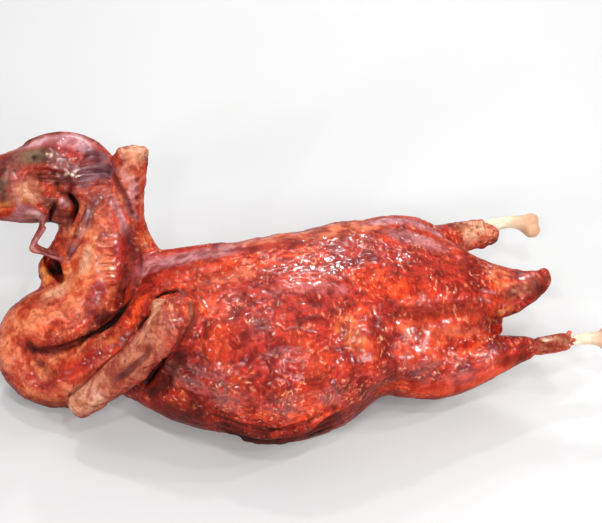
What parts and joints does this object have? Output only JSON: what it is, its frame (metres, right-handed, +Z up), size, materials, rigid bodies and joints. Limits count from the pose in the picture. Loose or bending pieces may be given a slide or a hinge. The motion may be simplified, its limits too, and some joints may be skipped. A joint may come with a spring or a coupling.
{
  "type": "roast duck",
  "caption": "Whole roast duck lying on its breast, head and bill on a neck curled back in an S, wing stumps raised, legs stretched back with bare shank bones, tail between.",
  "frame": {"origin": "bottom centre of the whole bird's bounding box, on the surface that the breast rests on", "axes": "+X along the bird to its tail and feet, with the bill at -X; +Y to the bird's right; +Z up, out of its back"},
  "size_m": [0.4248, 0.2012, 0.1403],
  "materials": {
    "roast_skin": "glazed roast skin, deep red to orange, finely wrinkled, with a broken oily shine",
    "bone": "dull cream bone with browned knuckles"
  },
  "bodies": {
    "root": {"duck": "roast_skin", "leg_bone_left": "bone", "leg_bone_right": "bone"}
  },
  "joints": []
}
